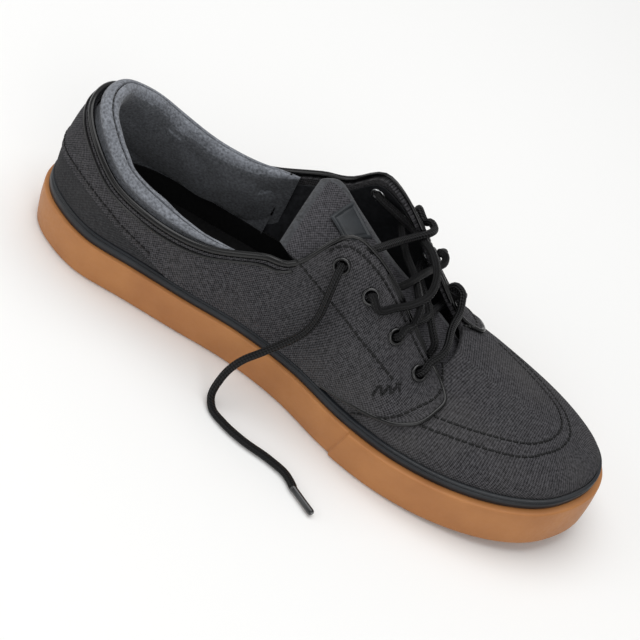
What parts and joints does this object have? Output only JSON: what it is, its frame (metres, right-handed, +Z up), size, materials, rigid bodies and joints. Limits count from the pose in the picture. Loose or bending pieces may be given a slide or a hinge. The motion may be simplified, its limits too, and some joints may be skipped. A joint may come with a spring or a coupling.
{
  "type": "low lace-up skateboarding shoe",
  "caption": "Low lace-up skate shoe for the left foot: hollow canvas upper with padded felt collar on a flat cup sole, laces slack, standing empty.",
  "frame": {"origin": "on the floor, under the middle of the sole's length and width", "axes": "+X towards the toe, +Y towards the lateral side, +Z up"},
  "size_m": [0.306, 0.1467, 0.1031],
  "materials": {
    "gum_rubber": "satin gum rubber",
    "black_rubber": "smooth black rubber",
    "black_foam": "matt covered foam",
    "charcoal_canvas": "woven canvas",
    "black_piping": "glossy coated cord",
    "grey_felt": "matt heather felt",
    "black_enamel": "enamelled metal",
    "black_cord": "braided cord"
  },
  "bodies": {
    "root": {"outsole": "gum_rubber", "foxing_stripe": "black_rubber", "insole": "black_foam", "upper": "charcoal_canvas", "quarters": "charcoal_canvas", "piping": "black_piping", "collar_pad": "grey_felt", "tongue": "charcoal_canvas", "tongue_label": "black_foam", "eyelet_medial_1": "black_enamel", "eyelet_medial_2": "black_enamel", "eyelet_medial_3": "black_enamel", "eyelet_medial_4": "black_enamel", "eyelet_lateral_1": "black_enamel", "eyelet_lateral_2": "black_enamel", "eyelet_lateral_3": "black_enamel", "eyelet_lateral_4": "black_enamel", "lace_bar": "black_cord", "lace_crossing_low": "black_cord", "lace_crossing_middle": "black_cord", "lace_crossing_top": "black_cord", "lace_end": "black_cord", "lace_aglet": "black_piping"}
  },
  "joints": []
}
